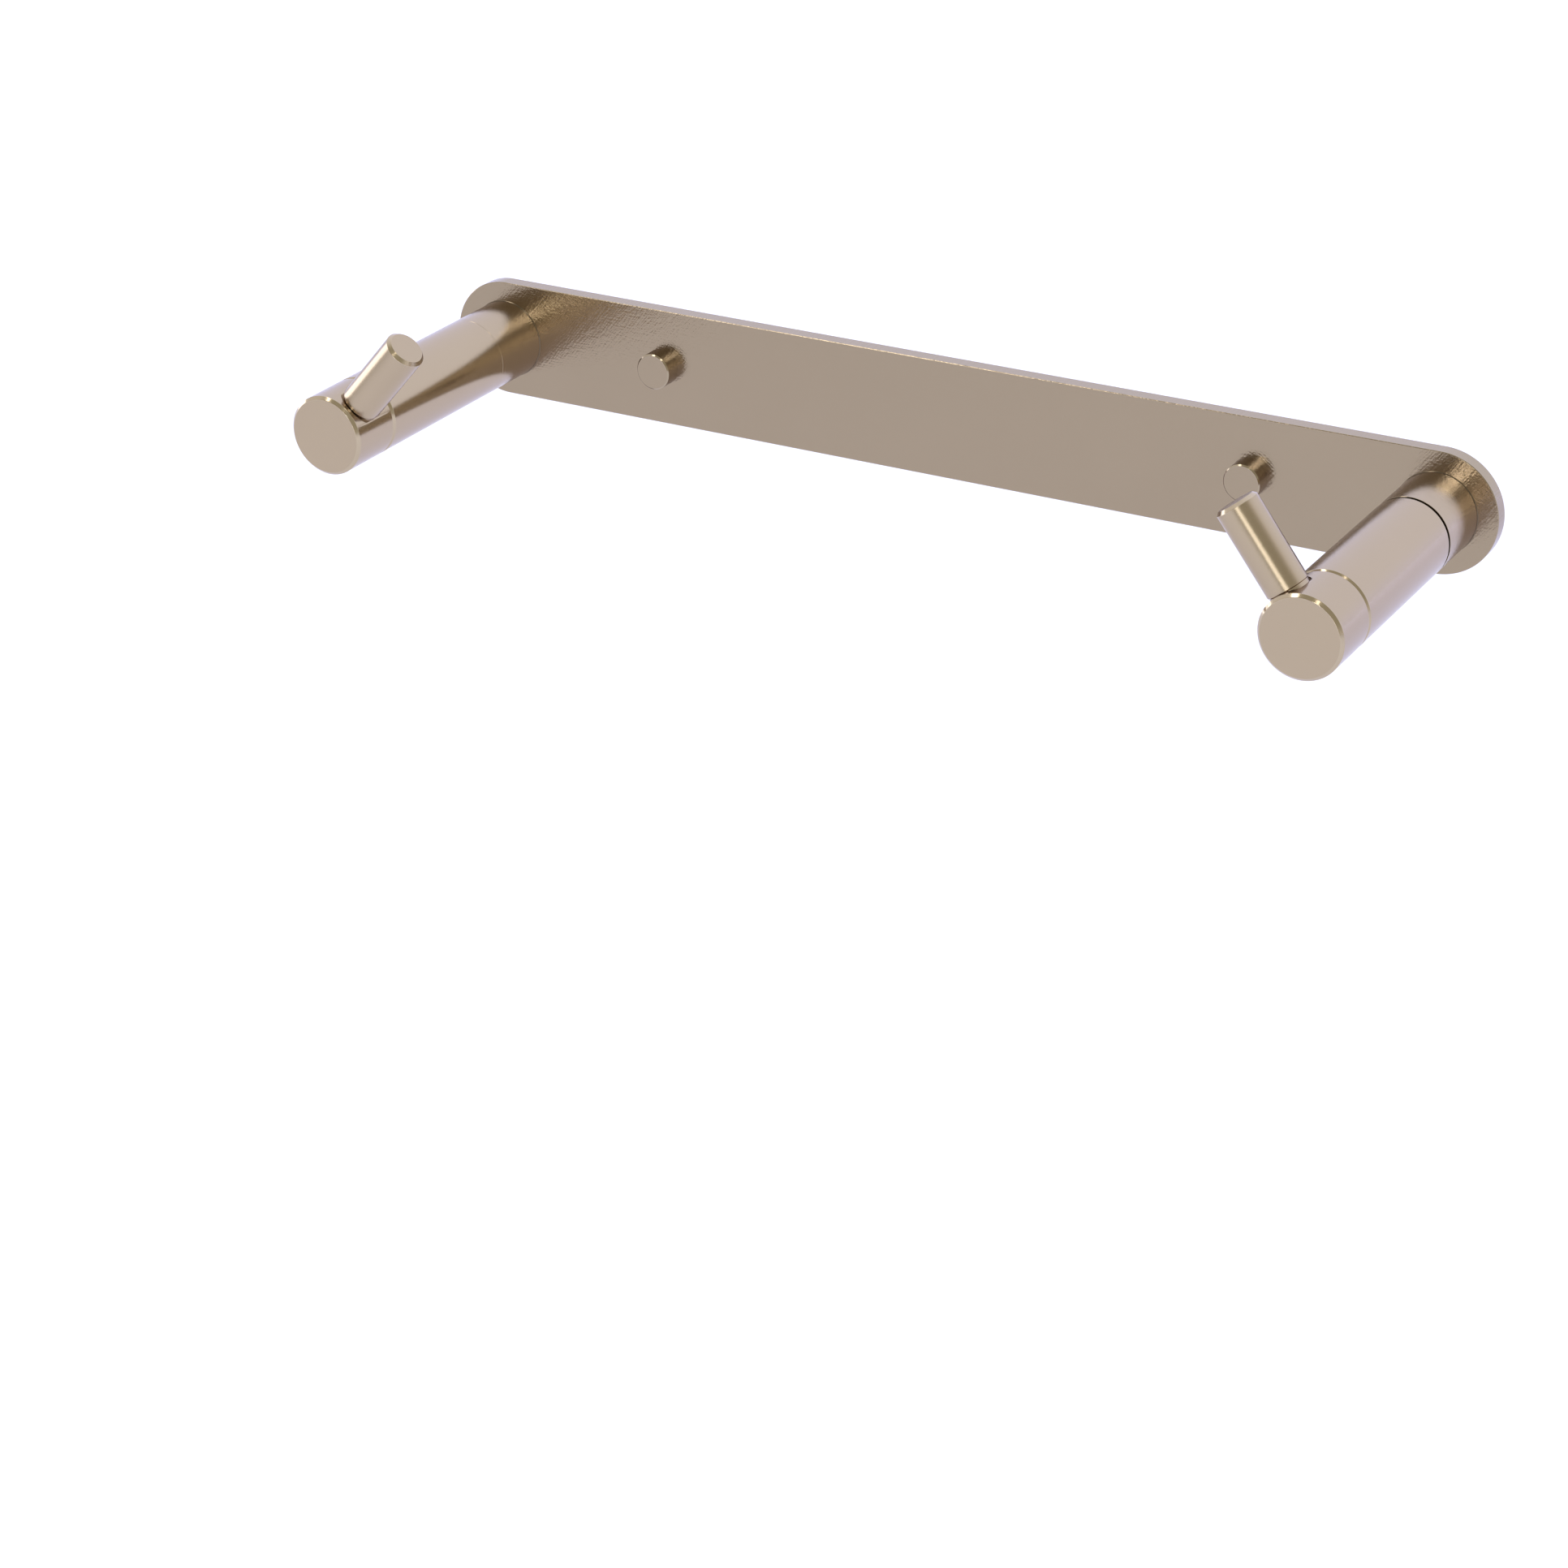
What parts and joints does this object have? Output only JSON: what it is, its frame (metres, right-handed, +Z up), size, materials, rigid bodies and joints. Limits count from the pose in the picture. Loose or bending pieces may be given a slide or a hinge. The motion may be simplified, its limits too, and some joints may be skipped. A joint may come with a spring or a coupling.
{
  "type": "paper towel holder",
  "caption": "Wall-mounted paper towel holder: a stadium-shaped plate with two round posts whose front heads turn to swing short roll pins up or level.",
  "frame": {"origin": "middle of the back plate's rear face, where it meets the wall", "axes": "+X to the right along the plate, seen from the room; +Y into the wall; +Z up; the posts stand out towards -Y"},
  "size_m": [0.36, 0.1066, 0.0542],
  "materials": {
    "bronze": "brushed warm pewter-bronze plating",
    "raw_brass": "turned, unplated",
    "steel": "zinc plated",
    "bush": "natural acetal",
    "spacer": "black nylon"
  },
  "bodies": {
    "frame": {"back_plate": "bronze", "right_spacer_washer": "spacer", "left_base_collar": "bronze", "left_post_body": "bronze", "left_post_insert": "raw_brass", "left_post_screw": "steel", "left_pivot_bush": "bush", "left_thrust_washer": "steel", "left_cap_seat": "raw_brass", "left_screw_cap": "bronze", "right_base_collar": "bronze", "right_post_body": "bronze", "right_post_insert": "raw_brass", "right_post_screw": "steel", "right_pivot_bush": "bush", "right_thrust_washer": "steel", "right_cap_seat": "raw_brass", "right_screw_cap": "bronze"},
    "left_head": {"left_disc_spring": "steel", "left_pivot_stud": "steel", "left_pivot_nut": "steel", "left_swivel_head": "bronze", "left_stop_pin": "steel", "left_roll_pin": "bronze", "left_pin_stud": "steel"},
    "right_head": {"right_disc_spring": "steel", "right_pivot_stud": "steel", "right_pivot_nut": "steel", "right_swivel_head": "bronze", "right_stop_pin": "steel", "right_roll_pin": "bronze", "right_pin_stud": "steel"}
  },
  "joints": [
    {"name": "left_pin_swing", "type": "hinge", "parent": "frame", "child": "left_head", "pos_m": [-0.161, -0.0882, 0], "axis": [0, -1, 0], "range_deg": [-49, 41]},
    {"name": "right_pin_swing", "type": "hinge", "parent": "frame", "child": "right_head", "pos_m": [0.161, -0.0882, 0], "axis": [0, 1, 0], "range_deg": [-53, 37]}
  ]
}
